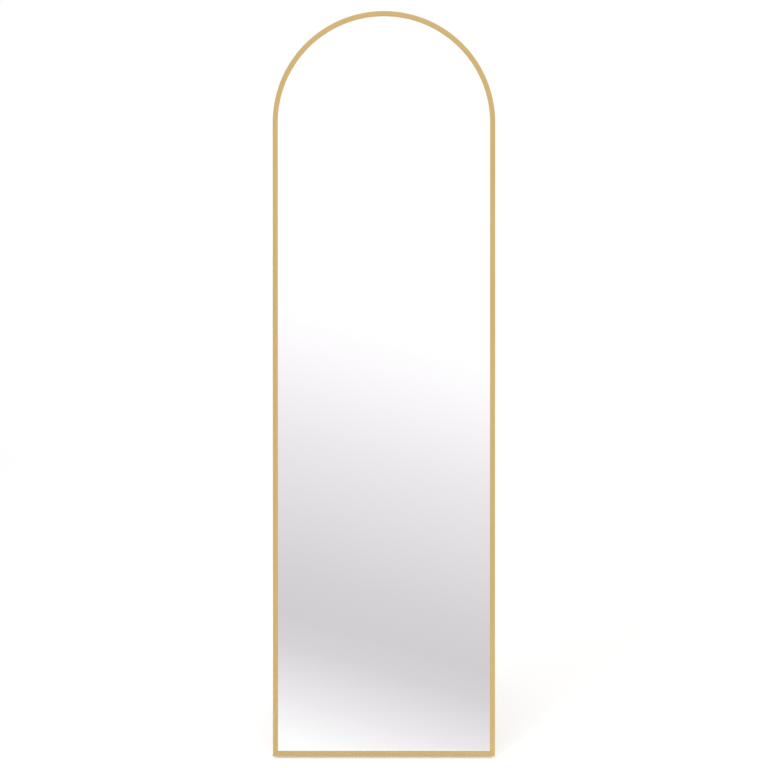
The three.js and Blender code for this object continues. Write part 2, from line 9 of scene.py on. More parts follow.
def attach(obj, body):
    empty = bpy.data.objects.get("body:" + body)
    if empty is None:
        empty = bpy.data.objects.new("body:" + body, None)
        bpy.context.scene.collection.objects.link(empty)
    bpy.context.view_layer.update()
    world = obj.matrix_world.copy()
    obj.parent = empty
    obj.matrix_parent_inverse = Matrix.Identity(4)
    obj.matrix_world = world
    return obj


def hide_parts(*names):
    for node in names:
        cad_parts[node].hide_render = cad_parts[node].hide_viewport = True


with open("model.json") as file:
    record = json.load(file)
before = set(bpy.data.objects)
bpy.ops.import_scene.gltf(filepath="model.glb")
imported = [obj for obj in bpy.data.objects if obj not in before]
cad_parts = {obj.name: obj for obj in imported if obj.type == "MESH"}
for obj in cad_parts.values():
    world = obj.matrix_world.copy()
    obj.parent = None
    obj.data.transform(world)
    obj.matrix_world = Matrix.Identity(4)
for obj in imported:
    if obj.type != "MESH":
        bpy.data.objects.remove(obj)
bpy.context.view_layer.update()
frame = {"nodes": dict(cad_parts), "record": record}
print("frame loaded,", len(frame["nodes"]), "nodes")

# pieces are modelled in millimetres, as if the mirror stood upright, and are set in place at the end
# across is x, back is y, up the glass is z, and the frame's front lower edge is the origin
metre = 1000
leaning = {"lean": 11, "rise": 6.92427, "back": 183.37951}  # on its pads, the origin midway in its depth
lean = math.radians(leaning["lean"])
mirrorPlace = (
    Matrix.Scale(1 / metre, 4)
    @ Matrix.Translation((0, -leaning["back"], leaning["rise"]))
    @ Matrix.Rotation(-lean, 4, "X")
)

# the stand's own place: its pivot is the origin, and its legs run down in z
stand = {"pivotBack": 43.1, "pivotUp": 1040, "spread": 6.5, "halfSpacing": 140, "legLength": 1015.118}
standPlace = (
    mirrorPlace
    @ Matrix.Translation((0, stand["pivotBack"], stand["pivotUp"]))
    @ Matrix.Rotation(lean + math.radians(stand["spread"]), 4, "X")
)

room = 0.3  # millimetres between pieces that rest on each other
close = 0.01  # millimetres; what is nearer than this is in the same place
mostly = 0.9  # how squarely an edge or a face must point one way to be picked by it
past = 5  # millimetres that a cutting tool goes on past what it cuts
roundSides = 48


def deselectAll():
    if bpy.context.object and bpy.context.object.mode != "OBJECT":
        bpy.ops.object.mode_set(mode="OBJECT")
    bpy.ops.object.select_all(action="DESELECT")


def takeOnly(piece):
    deselectAll()
    piece.select_set(True)
    bpy.context.view_layer.objects.active = piece


def edit(piece):
    takeOnly(piece)
    bpy.ops.object.mode_set(mode="EDIT")
    bpy.ops.mesh.select_mode(type="VERT")
    bpy.ops.mesh.select_all(action="SELECT")


def pick(kind, test):
    # selects what passes the test: corners by their place, edges by their ends, faces by middle and normal
    bpy.ops.mesh.select_mode(type=kind)
    bpy.ops.mesh.select_all(action="DESELECT")
    edited = bmesh.from_edit_mesh(bpy.context.object.data)
    items = {"VERT": edited.verts, "EDGE": edited.edges, "FACE": edited.faces}[kind]
    for item in items:
        if kind == "VERT":
            found = test(item.co)
        elif kind == "EDGE":
            found = test(item.verts[0].co, item.verts[1].co)
        else:
            found = test(item.calc_center_median(), item.normal)
        if found:
            item.select_set(True)
    bmesh.update_edit_mesh(bpy.context.object.data)


def runsAlong(axis):
    # a test for the edges along x, y or z
    return lambda a, b: abs((b - a).normalized()["XYZ".index(axis)]) > mostly


def looks(*way):
    # a test for the faces that look this way
    return lambda middle, normal: normal.dot(Vector(way)) > mostly


def extrude(x=0, y=0, z=0):
    bpy.ops.mesh.extrude_region_move(TRANSFORM_OT_translate={"value": (x, y, z)})


def cutAt(point, normal, **more):
    bpy.ops.mesh.bisect(plane_co=point, plane_no=normal, **more)


def cutOff(point, normal):
    # everything beyond the plane goes, and the cut is closed
    cutAt(point, normal, use_fill=True, clear_outer=True)


def faceOutwards(doubles=0.001):
    bpy.ops.mesh.select_all(action="SELECT")
    bpy.ops.mesh.remove_doubles(threshold=doubles)
    bpy.ops.mesh.normals_make_consistent(inside=False)


def keepNew(name):
    # takes the primitive that was just added, with its size and place in its mesh
    bpy.ops.object.transform_apply()
    piece = bpy.context.object
    piece.name = name
    return piece


def addBlock(name, low, high):
    deselectAll()
    low, high = Vector(low), Vector(high)
    bpy.ops.mesh.primitive_cube_add(size=1, location=(low + high) / 2, scale=high - low)
    return keepNew(name)


def addSheet(name, width, depth, middle):
    # a flat rectangle to extrude, its depth along y
    deselectAll()
    bpy.ops.mesh.primitive_plane_add(size=1, location=middle)
    bpy.context.object.scale = (width, depth, 1)
    return keepNew(name)


def addCircle(name, radius, middle, sides, **more):
    deselectAll()
    bpy.ops.mesh.primitive_circle_add(vertices=sides, radius=radius, location=middle, **more)
    return keepNew(name)


def addRound(name, radius, low, high, axis, sides=roundSides):
    # a cylinder whose axis runs from low to high along x, y or z
    deselectAll()
    low, high = Vector(low), Vector(high)
    turn = {"X": (0, math.pi / 2, 0), "Y": (-math.pi / 2, 0, 0), "Z": (0, 0, 0)}[axis]
    bpy.ops.mesh.primitive_cylinder_add(
        vertices=sides, radius=radius, depth=(high - low).length, location=(low + high) / 2, rotation=turn
    )
    return keepNew(name)


def addTurned(name, axis, rings, sides=roundSides):
    # a round form built up ring on ring, each a radius and a place along x, y or z
    radius, height = rings[0]
    piece = addCircle(name, radius, (0, 0, height), sides, fill_type="NGON")
    edit(piece)
    for nextRadius, nextHeight in rings[1:]:
        extrude(z=nextHeight - height)
        growth = nextRadius / radius
        bpy.ops.transform.resize(value=(growth, growth, 1), center_override=(0, 0, nextHeight))
        radius, height = nextRadius, nextHeight
    faceOutwards(doubles=0.0001)
    bpy.ops.object.mode_set(mode="OBJECT")
    turn = {"X": ("Y", math.pi / 2), "Y": ("X", -math.pi / 2), "Z": ("Z", 0)}[axis]
    piece.data.transform(Matrix.Rotation(turn[1], 4, turn[0]))
    return piece


def chamferRings(radius, seat, chamfer):
    # the first two rings of a side that starts with a chamfer
    return [(radius - chamfer, seat), (radius, seat + chamfer)]


def domeRings(size, seat, steps=7):
    # the side of a pan or button head and the dome above it, which ends in a small flat
    radius, rim, height = size["head"], size["rim"], size["height"]
    rings = [(radius, seat + rim)]
    for step in range(1, steps + 1):
        angle = step / (steps + 1) * math.pi / 2
        rings.append((radius * math.cos(angle), seat + rim + (height - rim) * math.sin(angle)))
    return rings + [(radius * size["flat"], seat + height)]


def useModifier(piece, kind, **settings):
    takeOnly(piece)
    modifier = piece.modifiers.new(kind.lower(), kind)
    for key, value in settings.items():
        setattr(modifier, key, value)
    bpy.ops.object.modifier_apply(modifier=modifier.name)


def softenEdges(piece, width, segments=2, angle=35):
    limit = {"limit_method": "ANGLE", "angle_limit": math.radians(angle)}
    useModifier(piece, "BEVEL", width=width, segments=segments, **limit)


def combine(piece, tool, operation):
    useModifier(piece, "BOOLEAN", object=tool, operation=operation, solver="EXACT")
    bpy.data.objects.remove(tool)


def smooth(piece, angle=32):
    takeOnly(piece)
    bpy.ops.object.shade_smooth_by_angle(angle=math.radians(angle))


def copyOf(piece, name):
    twin = piece.copy()
    twin.data = piece.data.copy()
    twin.name = name
    bpy.context.scene.collection.objects.link(twin)
    return twin


def fit(piece, place, body, slot, *nodes):
    # from the workbench to its place, on the body that carries it, replacing its CAD node
    takeOnly(piece)
    piece.data.transform(place)
    piece.data.update()
    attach(piece, body)
    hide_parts(*nodes)
    return piece


class Wire:
    # a shader socket that takes part in sums
    def __init__(self, finish, socket):
        self.finish = finish
        self.socket = socket

    def sum(self, operation, *terms):
        return self.finish.node("ShaderNodeMath", {"operation": operation}, dict(enumerate(terms)))

    def __add__(self, other):
        return self.sum("ADD", self, other)

    def __sub__(self, other):
        return self.sum("SUBTRACT", self, other)

    def __rsub__(self, other):
        return self.sum("SUBTRACT", other, self)

    def __mul__(self, other):
        return self.sum("MULTIPLY", self, other)

    def __truediv__(self, other):
        return self.sum("DIVIDE", self, other)

    def __rtruediv__(self, other):
        return self.sum("DIVIDE", other, self)

    __radd__ = __add__
    __rmul__ = __mul__


class Finish:
    # one material, or the world, as a tree of shader nodes
    def __init__(self, owner):
        self.owner = owner
        owner.use_nodes = True
        self.tree = owner.node_tree
        self.tree.nodes.clear()

    def node(self, kind, settings=None, sockets=None, output=0):
        node = self.tree.nodes.new(kind)
        for key, value in (settings or {}).items():
            if key == "stops":
                self.setStops(node.color_ramp, value)
            else:
                setattr(node, key, value)
        for key, value in (sockets or {}).items():
            socket = node.inputs[key]
            if isinstance(value, Wire):
                self.tree.links.new(value.socket, socket)
            elif hasattr(value, "__len__") and len(value) == 3 and len(socket.default_value) == 4:
                socket.default_value = (*value, 1)
            else:
                socket.default_value = value
        return Wire(self, node.outputs[output]) if node.outputs else None

    def setStops(self, ramp, stops):
        while len(ramp.elements) > 1:
            ramp.elements.remove(ramp.elements[-1])
        for i, (position, colour) in enumerate(stops):
            stop = ramp.elements[0] if i == 0 else ramp.elements.new(position)
            stop.position = position
            stop.color = (*colour, 1) if hasattr(colour, "__len__") else (colour, colour, colour, 1)

    def place(self, stretch=(1, 1, 1), turn=(0, 0, 0), source="Object"):
        # turned first, then stretched, so that a grain can run at any angle
        at = self.node("ShaderNodeTexCoord", output=source)
        size = tuple(1 / value for value in stretch)
        return self.node(
            "ShaderNodeMapping", {"vector_type": "TEXTURE"}, {"Vector": at, "Rotation": turn, "Scale": size}
        )

    def noise(self, pattern, at=None):
        # a pattern is a noise's scale, its detail and how rough that detail is
        scale, detail, rough = pattern
        sockets = {"Vector": at or self.place(), "Scale": scale, "Detail": detail, "Roughness": rough}
        return self.node("ShaderNodeTexNoise", None, sockets)

    def ramp(self, factor, *stops):
        return self.node("ShaderNodeValToRGB", {"stops": stops}, {"Fac": factor})

    def tones(self, look, pattern):
        # between a finish's two tones, as its pattern goes from one of its ends to the other
        return self.ramp(pattern, *zip(look["ends"], look["tones"]))

    def mask(self, pattern, ends):
        return self.ramp(pattern, (ends[0], 0.0), (ends[1], 1.0))

    def blend(self, factor, first, second):
        return self.node("ShaderNodeMix", {"data_type": "RGBA"}, {0: factor, 6: first, 7: second}, 2)

    def bump(self, look, height):
        sockets = {"Height": height, "Distance": look["depth"], "Strength": look["strength"]}
        return self.node("ShaderNodeBump", None, sockets)

    def shade(self, **sockets):
        names = {key.replace("_", " "): value for key, value in sockets.items()}
        surface = self.node("ShaderNodeBsdfPrincipled", None, names)
        self.node("ShaderNodeOutputMaterial", None, {"Surface": surface})
        return self.owner

    def measure(self, operation, *terms):
        # a number worked out from vectors
        return self.node("ShaderNodeVectorMath", {"operation": operation}, dict(enumerate(terms)), "Value")

    def ray(self, kind):
        return self.node("ShaderNodeLightPath", output=f"Is {kind} Ray")

    def either(self, factor, first, second):
        # the first shader where the factor is 0, and the second where it is 1
        return self.node("ShaderNodeMixShader", None, {0: factor, 1: first, 2: second})


def uneven(value, pattern, swing):
    # a value that a pattern moves up and down by half the swing
    return value + (pattern - 0.5) * swing


def twoOf(first, second, share):
    # two patterns in one, the second with this share
    return first * (1 - share) + second * share


# the camera looks almost square at the glass, as in the photo, so it stands above its middle and looks down
view = {"distance": 4500, "aimUp": 851.4, "aimAcross": 0.1, "above": 0.5, "fieldOfView": 22.06}


def addCamera():
    data = bpy.data.cameras.new("camera")
    data.angle = math.radians(view["fieldOfView"])
    camera = bpy.data.objects.new("camera", data)
    bpy.context.scene.collection.objects.link(camera)
    aim = Vector((view["aimAcross"], 0, view["aimUp"]))
    above = Matrix.Rotation(-math.radians(view["above"]), 3, "X")
    spot = aim + above @ Vector((0, -view["distance"], 0))
    turn = mirrorPlace.to_3x3().normalized() @ above @ Matrix.Rotation(math.pi / 2, 3, "X")
    camera.matrix_world = Matrix.Translation(mirrorPlace @ spot) @ turn.to_4x4()
    bpy.context.scene.camera = camera
    print("camera at", [round(v, 3) for v in camera.location])


# what the glass shows: white, with a soft grey band low down that falls to the right
sky = {
    "slant": 0.285,
    "blush": 0.026,  # how much less green the greys have
    "white": 1.03,
    "daylight": 0.78,
    "low": -0.25,
    "span": 0.35,
    "band": (  # how far up each grey shows, and the grey
        (-0.193, 1.0), (-0.172, 0.836), (-0.147, 0.67), (-0.132, 0.635), (-0.112, 0.66), (-0.049, 0.821),
        (-0.002, 0.971), (0.017, 1.0),
    ),
}
plainWhite = (1, 1, 1)


def makeSky():
    world = bpy.data.worlds.new("studio")
    bpy.context.scene.world = world
    finish = Finish(world)
    towards = finish.node("ShaderNodeTexCoord", output="Generated")
    axis = Vector((sky["slant"], math.sin(lean), math.cos(lean))).normalized()
    height = finish.measure("DOT_PRODUCT", towards, axis)
    stops = []
    for up, grey in sky["band"]:
        green = grey if grey == 1 else grey - sky["blush"]
        stops.append(((up - sky["low"]) / sky["span"], (grey, green, grey)))
    band = finish.ramp((height - sky["low"]) / sky["span"], *stops)

    def backdrop(colour, strength):
        return finish.node("ShaderNodeBackground", None, {"Color": colour, "Strength": strength})

    shown, white = backdrop(band, sky["white"]), backdrop(plainWhite, 1)
    light = backdrop(plainWhite, sky["daylight"])
    seen = finish.either(finish.ray("Glossy"), light, shown)
    seen = finish.either(finish.ray("Transmission"), seen, white)
    seen = finish.either(finish.ray("Camera"), seen, white)
    finish.node("ShaderNodeOutputWorld", None, {"Surface": seen})


# the floor is pale and plain; its lift, by distance as a share of far, shows it white less the shadow
ground = {
    "across": 60, "tone": 0.82, "shade": 0.985, "mottle": (3, 3, 0.5), "roughness": 0.6, "far": 10,
    "lift": ((0.05, 0.3), (0.15, 0.2), (0.3, 0.18), (0.52, 0.33), (1, 0.43)),
}


def addFloor():
    deselectAll()
    bpy.ops.mesh.primitive_plane_add(size=ground["across"], location=(0, 0, 0))
    floor = bpy.context.object
    floor.name = "floor"
    finish = Finish(bpy.data.materials.new("floor"))
    at = finish.place()
    tone = ground["tone"]
    colour = finish.blend(finish.noise(ground["mottle"], at), (tone,) * 3, (tone * ground["shade"],) * 3)
    matt = finish.node("ShaderNodeBsdfDiffuse", None, {"Color": colour, "Roughness": ground["roughness"]})
    away = finish.measure("LENGTH", at) / ground["far"]
    lift = finish.ramp(away, *ground["lift"])
    glow = finish.node("ShaderNodeEmission", None, {"Color": plainWhite, "Strength": lift})
    lit = finish.node("ShaderNodeAddShader", None, {0: matt, 1: glow})
    seen = finish.either(finish.ray("Camera") + finish.ray("Glossy"), matt, lit)
    finish.node("ShaderNodeOutputMaterial", None, {"Surface": seen})
    floor.data.materials.append(finish.owner)


# two soft lamps, left and right of the lens, and one behind, in metres; the glass doesn't show them
lamps = {
    "key": {"at": (-2.4, -2.8, 3.1), "size": 2.2, "power": 48},
    "fill": {"at": (2.8, -2.2, 2.2), "size": 2.6, "power": 26},
    "rear": {"at": (0.8, 3.0, 2.9), "size": 2.4, "power": 34},
}
lampAim = (0, 0, 0.8)


def addLamps():
    for name, lamp in lamps.items():
        data = bpy.data.lights.new(name, "AREA")
        data.shape = "SQUARE"
        data.size = lamp["size"]
        data.energy = lamp["power"]
        light = bpy.data.objects.new(name, data)
        bpy.context.scene.collection.objects.link(light)
        light.location = lamp["at"]
        light.rotation_euler = (Vector(lampAim) - light.location).to_track_quat("-Z", "Y").to_euler()
        light.visible_glossy = False


bpy.context.scene.view_settings.view_transform = "Standard"
addCamera()
makeSky()
addFloor()
addLamps()
print("studio set up")


# the scales and depths of the finishes are for metres, which the scene is in

# satin gold anodising, with the faint lines that the die leaves along the bar
gold = {
    "tones": ((0.635, 0.44, 0.175), (0.70, 0.50, 0.22)), "ends": (0.36, 0.64), "stretch": (2.5, 1600, 1),
    "lines": (1, 4, 0.75), "cloud": (7, 3, 0.5), "cloudShare": 0.3, "grain": (5200, 2, 0.5),
    "grainShare": 0.4, "roughness": 0.36, "lineSwing": 0.2, "cloudSwing": 0.06, "depth": 0.00012,
    "strength": 0.6,
}


def makeGold():
    finish = Finish(bpy.data.materials.new("goldAnodised"))
    lines = finish.noise(gold["lines"], finish.place(gold["stretch"], source="UV"))
    cloud = finish.noise(gold["cloud"])
    tone = finish.tones(gold, twoOf(lines, cloud, gold["cloudShare"]))
    grain = finish.noise(gold["grain"])
    rough = uneven(gold["roughness"], lines, gold["lineSwing"])
    return finish.shade(
        Base_Color=tone,
        Metallic=1.0,
        Roughness=uneven(rough, cloud, gold["cloudSwing"]),
        Normal=finish.bump(gold, lines + grain * gold["grainShare"]),
    )


# silvered float glass: clear and even, with only a breath of dust
silver = {
    "tone": (0.985, 0.985, 0.985), "shade": (0.97, 0.975, 0.972), "breath": (4, 2, 0.5),
    "dust": (1400, 1, 0.5), "dustEnds": (0.72, 0.84), "roughness": 0.004, "breathRoughness": 0.012,
    "dustRoughness": 0.01,
}


def makeSilver():
    finish = Finish(bpy.data.materials.new("mirrorSilver"))
    breath = finish.noise(silver["breath"])
    dust = finish.mask(finish.noise(silver["dust"]), silver["dustEnds"])
    haze = breath * silver["breathRoughness"] + dust * silver["dustRoughness"]
    return finish.shade(
        Base_Color=finish.blend(breath, silver["tone"], silver["shade"]),
        Metallic=1.0,
        Roughness=silver["roughness"] + haze,
    )


# medium density fibreboard: a fine felt with short loose fibres that lie three ways, pressed smooth
fibre = {
    "tones": ((0.29, 0.178, 0.092), (0.375, 0.24, 0.13)), "ends": (0.36, 0.62), "felt": (1500, 4, 0.7),
    "cloud": (11, 5, 0.65), "cloudShare": 0.55, "roughness": 0.72, "swing": 0.2, "depth": 0.00008,
    "strength": 0.6,
}
hair = {
    "tone": (0.47, 0.33, 0.20), "angles": (20, 78, 137), "stretch": (1500, 300, 170),
    "pattern": (1, 2, 0.5), "ends": (0.64, 0.70), "share": 0.3, "height": 0.4,
}
bark = {"tone": (0.13, 0.075, 0.04), "pattern": (620, 1, 0.5), "ends": (0.73, 0.76), "share": 0.6}


def makeFibre():
    finish = Finish(bpy.data.materials.new("fibreboard"))
    felt = finish.noise(fibre["felt"])
    tone = finish.tones(fibre, twoOf(felt, finish.noise(fibre["cloud"]), fibre["cloudShare"]))
    hairs = 0.0
    for angle in hair["angles"]:
        lying = finish.place(hair["stretch"], (-lean, math.radians(angle), 0))
        hairs = finish.mask(finish.noise(hair["pattern"], lying), hair["ends"]) + hairs
    flecks = finish.mask(finish.noise(bark["pattern"]), bark["ends"])
    haired = finish.blend(hairs * hair["share"], tone, hair["tone"])
    return finish.shade(
        Base_Color=finish.blend(flecks * bark["share"], haired, bark["tone"]),
        Roughness=uneven(fibre["roughness"], felt, fibre["swing"]),
        Normal=finish.bump(fibre, felt + hairs * hair["height"]),
    )


# bare extruded aluminium, drawn along its length
alloy = {
    "tones": ((0.46, 0.47, 0.48), (0.60, 0.61, 0.62)), "ends": (0.3, 0.7), "stretch": (6, 1300, 1300),
    "lines": (1, 3, 0.6), "cloud": (14, 3, 0.5), "cloudShare": 0.5, "roughness": 0.38, "swing": 0.25,
    "depth": 0.00005, "strength": 0.5,
}


def makeAlloy():
    finish = Finish(bpy.data.materials.new("millAluminium"))
    lines = finish.noise(alloy["lines"], finish.place(alloy["stretch"]))
    return finish.shade(
        Base_Color=finish.tones(alloy, twoOf(lines, finish.noise(alloy["cloud"]), alloy["cloudShare"])),
        Metallic=1.0,
        Roughness=uneven(alloy["roughness"], lines, alloy["swing"]),
        Normal=finish.bump(alloy, lines),
    )


# bright zinc on steel fastenings: a cool passivated film with a little warmth in it
zinc = {
    "tones": ((0.60, 0.63, 0.67), (0.66, 0.64, 0.58)), "ends": (0.35, 0.68), "film": (120, 3, 0.6),
    "grain": (5200, 2, 0.5), "roughness": 0.26, "filmSwing": 0.16, "grainSwing": 0.08, "depth": 0.00001,
    "strength": 0.4,
}


def makeZinc():
    finish = Finish(bpy.data.materials.new("zincPlate"))
    film = finish.noise(zinc["film"])
    grain = finish.noise(zinc["grain"])
    rough = uneven(zinc["roughness"], film, zinc["filmSwing"])
    return finish.shade(
        Base_Color=finish.tones(zinc, film),
        Metallic=1.0,
        Roughness=uneven(rough, grain, zinc["grainSwing"]),
        Normal=finish.bump(zinc, grain),
    )


# die-cast zinc corner keys: dull and slightly pitted
castMetal = {
    "tones": ((0.28, 0.285, 0.29), (0.42, 0.43, 0.44)), "ends": (0.3, 0.7), "skin": (700, 4, 0.65),
    "cloud": (60, 3, 0.5), "cloudShare": 0.5, "metal": 0.9, "roughness": 0.5, "swing": 0.3, "depth": 0.0002,
    "strength": 0.6,
}


def makeCastMetal():
    finish = Finish(bpy.data.materials.new("castZinc"))
    skin = finish.noise(castMetal["skin"])
    pitted = twoOf(skin, finish.noise(castMetal["cloud"]), castMetal["cloudShare"])
    return finish.shade(
        Base_Color=finish.tones(castMetal, pitted),
        Metallic=castMetal["metal"],
        Roughness=uneven(castMetal["roughness"], skin, castMetal["swing"]),
        Normal=finish.bump(castMetal, skin),
    )


# black powder coat on the stand: an orange-peel skin, a touch greyer on its high spots
powder = {
    "tones": ((0.014, 0.014, 0.015), (0.021, 0.021, 0.022)), "ends": (0.35, 0.65), "peel": (700, 2, 0.45),
    "cloud": (30, 3, 0.5), "cloudShare": 0.2, "roughness": 0.36, "peelSwing": 0.12, "cloudSwing": 0.06,
    "depth": 0.0003, "strength": 0.55,
}


def makePowder():
    finish = Finish(bpy.data.materials.new("blackPowder"))
    peel = finish.noise(powder["peel"])
    cloud = finish.noise(powder["cloud"])
    rough = uneven(powder["roughness"], peel, powder["peelSwing"])
    return finish.shade(
        Base_Color=finish.tones(powder, twoOf(peel, cloud, powder["cloudShare"])),
        Roughness=uneven(rough, cloud, powder["cloudSwing"]),
        Normal=finish.bump(powder, peel),
    )


# moulded rubber, nylon and foam share one recipe
moulded = {
    "ends": (0.3, 0.7), "cloud": (50, 2, 0.5), "cloudShare": 0.5, "swing": 0.15, "depth": 0.0001,
    "strength": 0.5,
}
mouldings = {
    "blackRubber": {
        "tones": ((0.012, 0.012, 0.012), (0.034, 0.033, 0.032)), "roughness": 0.72, "grain": (900, 3, 0.5),
    },
    "blackNylon": {
        "tones": ((0.016, 0.016, 0.017), (0.03, 0.03, 0.031)), "roughness": 0.5, "grain": (1500, 3, 0.5),
    },
    "whiteNylon": {
        "tones": ((0.74, 0.73, 0.69), (0.82, 0.81, 0.78)), "roughness": 0.45, "grain": (1500, 3, 0.5),
    },
    "whiteFoam": {
        "tones": ((0.76, 0.76, 0.74), (0.86, 0.86, 0.84)), "roughness": 0.9, "grain": (420, 3, 0.5),
    },
}


def makeMoulding(name):
    look = {**moulded, **mouldings[name]}
    finish = Finish(bpy.data.materials.new(name))
    grain = finish.noise(look["grain"])
    return finish.shade(
        Base_Color=finish.tones(look, twoOf(grain, finish.noise(look["cloud"]), look["cloudShare"])),
        Roughness=uneven(look["roughness"], grain, look["swing"]),
        Normal=finish.bump(look, grain),
    )


# clear silicone under the rail and behind the arch
silicone = {
    "tones": ((0.70, 0.73, 0.73), (0.80, 0.83, 0.83)), "ends": (0.35, 0.65), "haze": (120, 2, 0.5),
    "roughness": 0.3, "hazeRoughness": 0.15, "index": 1.41, "clearness": 0.55,
}


def makeSilicone():
    finish = Finish(bpy.data.materials.new("clearSilicone"))
    haze = finish.noise(silicone["haze"])
    return finish.shade(
        Base_Color=finish.tones(silicone, haze),
        Roughness=silicone["roughness"] + haze * silicone["hazeRoughness"],
        IOR=silicone["index"],
        Transmission_Weight=silicone["clearness"],
    )


finishes = {
    "gold_anodised": makeGold(),
    "mirror_glass": makeSilver(),
    "fibreboard": makeFibre(),
    "mill_aluminium": makeAlloy(),
    "zinc_plated": makeZinc(),
    "cast_zinc": makeCastMetal(),
    "black_paint": makePowder(),
    "black_rubber": makeMoulding("blackRubber"),
    "black_nylon": makeMoulding("blackNylon"),
    "white_nylon": makeMoulding("whiteNylon"),
    "foam": makeMoulding("whiteFoam"),
    "clear_rubber": makeSilicone(),
}
for part in frame["record"]["subparts"]:
    node = frame["nodes"][part["node"]]
    node.data.materials.clear()
    node.data.materials.append(finishes[part["material_slot"]])
print("finishes made:", len(finishes))


# the frame's bar is an E in section: a lip over the glass, a flange behind the board, an open rear channel
bar = {
    "outer": 254, "depth": 30, "reach": 13, "border": 11.5, "lip": 1.6, "wall": 1.4, "seat": 13.8,
    "channel": 15.2, "rear": 28.6, "edge": 0.2, "root": 0.25, "edgeSteps": 3, "spring": 1448,
    "arcSteps": 168, "gap": 0.42426, "overrun": 20,
}


def addBarSection(name):
    # flat, with its outer side on x = 0 and its front on y = 0
    piece = addSheet(name, bar["reach"], bar["depth"], (bar["reach"] / 2, bar["depth"] / 2, 0))
    edit(piece)
    for across in (bar["wall"], bar["border"]):
        bpy.ops.mesh.select_all(action="SELECT")
        cutAt((across, 0, 0), (1, 0, 0))
    for back in (bar["lip"], bar["seat"], bar["channel"], bar["rear"]):
        bpy.ops.mesh.select_all(action="SELECT")
        cutAt((0, back, 0), (0, 1, 0))

    def isVoid(middle, normal):
        glass = bar["lip"] < middle.y < bar["seat"] and middle.x > bar["wall"]
        channel = bar["channel"] < middle.y < bar["rear"] and middle.x > bar["wall"]
        return glass or channel or (middle.y < bar["lip"] and middle.x > bar["border"])

    pick("FACE", isVoid)
    bpy.ops.mesh.delete(type="FACE")
    bpy.ops.mesh.select_all(action="SELECT")
    bpy.ops.mesh.dissolve_limited(angle_limit=0.01)
    outer = ((0, 0), (bar["border"], 0), (0, bar["depth"]), (bar["reach"], bar["depth"]))
    inner = [(bar["wall"], bar[depth]) for depth in ("lip", "seat", "channel", "rear")]
    inner += [(bar["border"], bar["lip"])]
    inner += [(bar["reach"], bar[depth]) for depth in ("seat", "channel", "rear")]

    def isAt(at, corners):
        return any(math.hypot(at.x - x, at.y - y) < close for x, y in corners)

    pick("VERT", lambda at: not isAt(at, outer) and not isAt(at, inner))
    bpy.ops.mesh.dissolve_verts()
    for corners, size in ((outer, bar["edge"]), (inner, bar["root"])):
        pick("VERT", lambda at: isAt(at, corners))
        bpy.ops.mesh.bevel(offset=size, segments=bar["edgeSteps"], affect="VERTICES")
    bpy.ops.mesh.select_mode(type="FACE")
    bpy.ops.mesh.select_all(action="SELECT")
    return piece


def drawLines(piece, along, across):
    # a map in metres that follows the bar, for the lines of the die
    bpy.ops.object.mode_set(mode="OBJECT")
    layer = piece.data.uv_layers.new(name="drawn")
    for loop in piece.data.loops:
        at = piece.data.vertices[loop.vertex_index].co
        layer.data[loop.index].uv = (along(at) / metre, across(at) / metre)


def makeFrameArch():
    piece = addBarSection("frameArch")
    outer, spring, overrun = bar["outer"], bar["spring"], bar["overrun"]
    bpy.ops.transform.translate(value=(-outer, 0, -overrun))
    extrude(z=spring + overrun)
    bpy.ops.mesh.spin(steps=bar["arcSteps"], angle=-math.pi, center=(0, 0, spring), axis=(0, 1, 0))
    extrude(z=-spring - overrun)
    for side in (-1, 1):
        pick("FACE", lambda at, normal: at.x * side > 0 and at.z < spring - close)
        cutOff((side * outer, 0, bar["gap"]), (-side, 0, -1))
    faceOutwards()

    def along(at):
        if at.z < spring:
            return at.z if at.x < 0 else 2 * spring + math.pi * outer - at.z
        return spring + outer * (math.pi - math.atan2(at.z - spring, at.x))

    def across(at):
        inward = outer - (abs(at.x) if at.z < spring else math.hypot(at.x, at.z - spring))
        return inward + at.y

    drawLines(piece, along, across)
    smooth(piece)
    return fit(piece, mirrorPlace, "mirror", "gold_anodised", "frame_arch")


def makeFrameRail():
    piece = addBarSection("frameBottomRail")
    outer = bar["outer"]
    bpy.ops.object.mode_set(mode="OBJECT")
    piece.data.transform(Matrix.Translation((-outer, 0, 0)) @ Matrix.Rotation(-math.pi / 2, 4, "Y"))
    edit(piece)
    extrude(x=2 * outer)
    for side in (-1, 1):
        bpy.ops.mesh.select_all(action="SELECT")
        cutOff((side * outer, 0, 0), (side, 0, 1))
    faceOutwards()
    drawLines(piece, lambda at: at.x + outer, lambda at: at.z + at.y)
    smooth(piece)
    return fit(piece, mirrorPlace, "mirror", "gold_anodised", "frame_bottom_rail")


for piece in (makeFrameArch(), makeFrameRail()):
    piece.data.materials.append(finishes["gold_anodised"])
    print("frame:", piece.name, len(piece.data.polygons), "faces")


# rolled aluminium box bars across the back, their ends in the frame's channel
brace = {
    "reach": 251.6, "height": 36, "wall": 1.5, "corner": 1.2, "cornerSteps": 4,
    "up": {"upper": 1406, "middle": stand["pivotUp"], "lower": 420},
}
onBrace = bar["rear"]  # brackets and straps rest here, since the braces have their room inside the channel


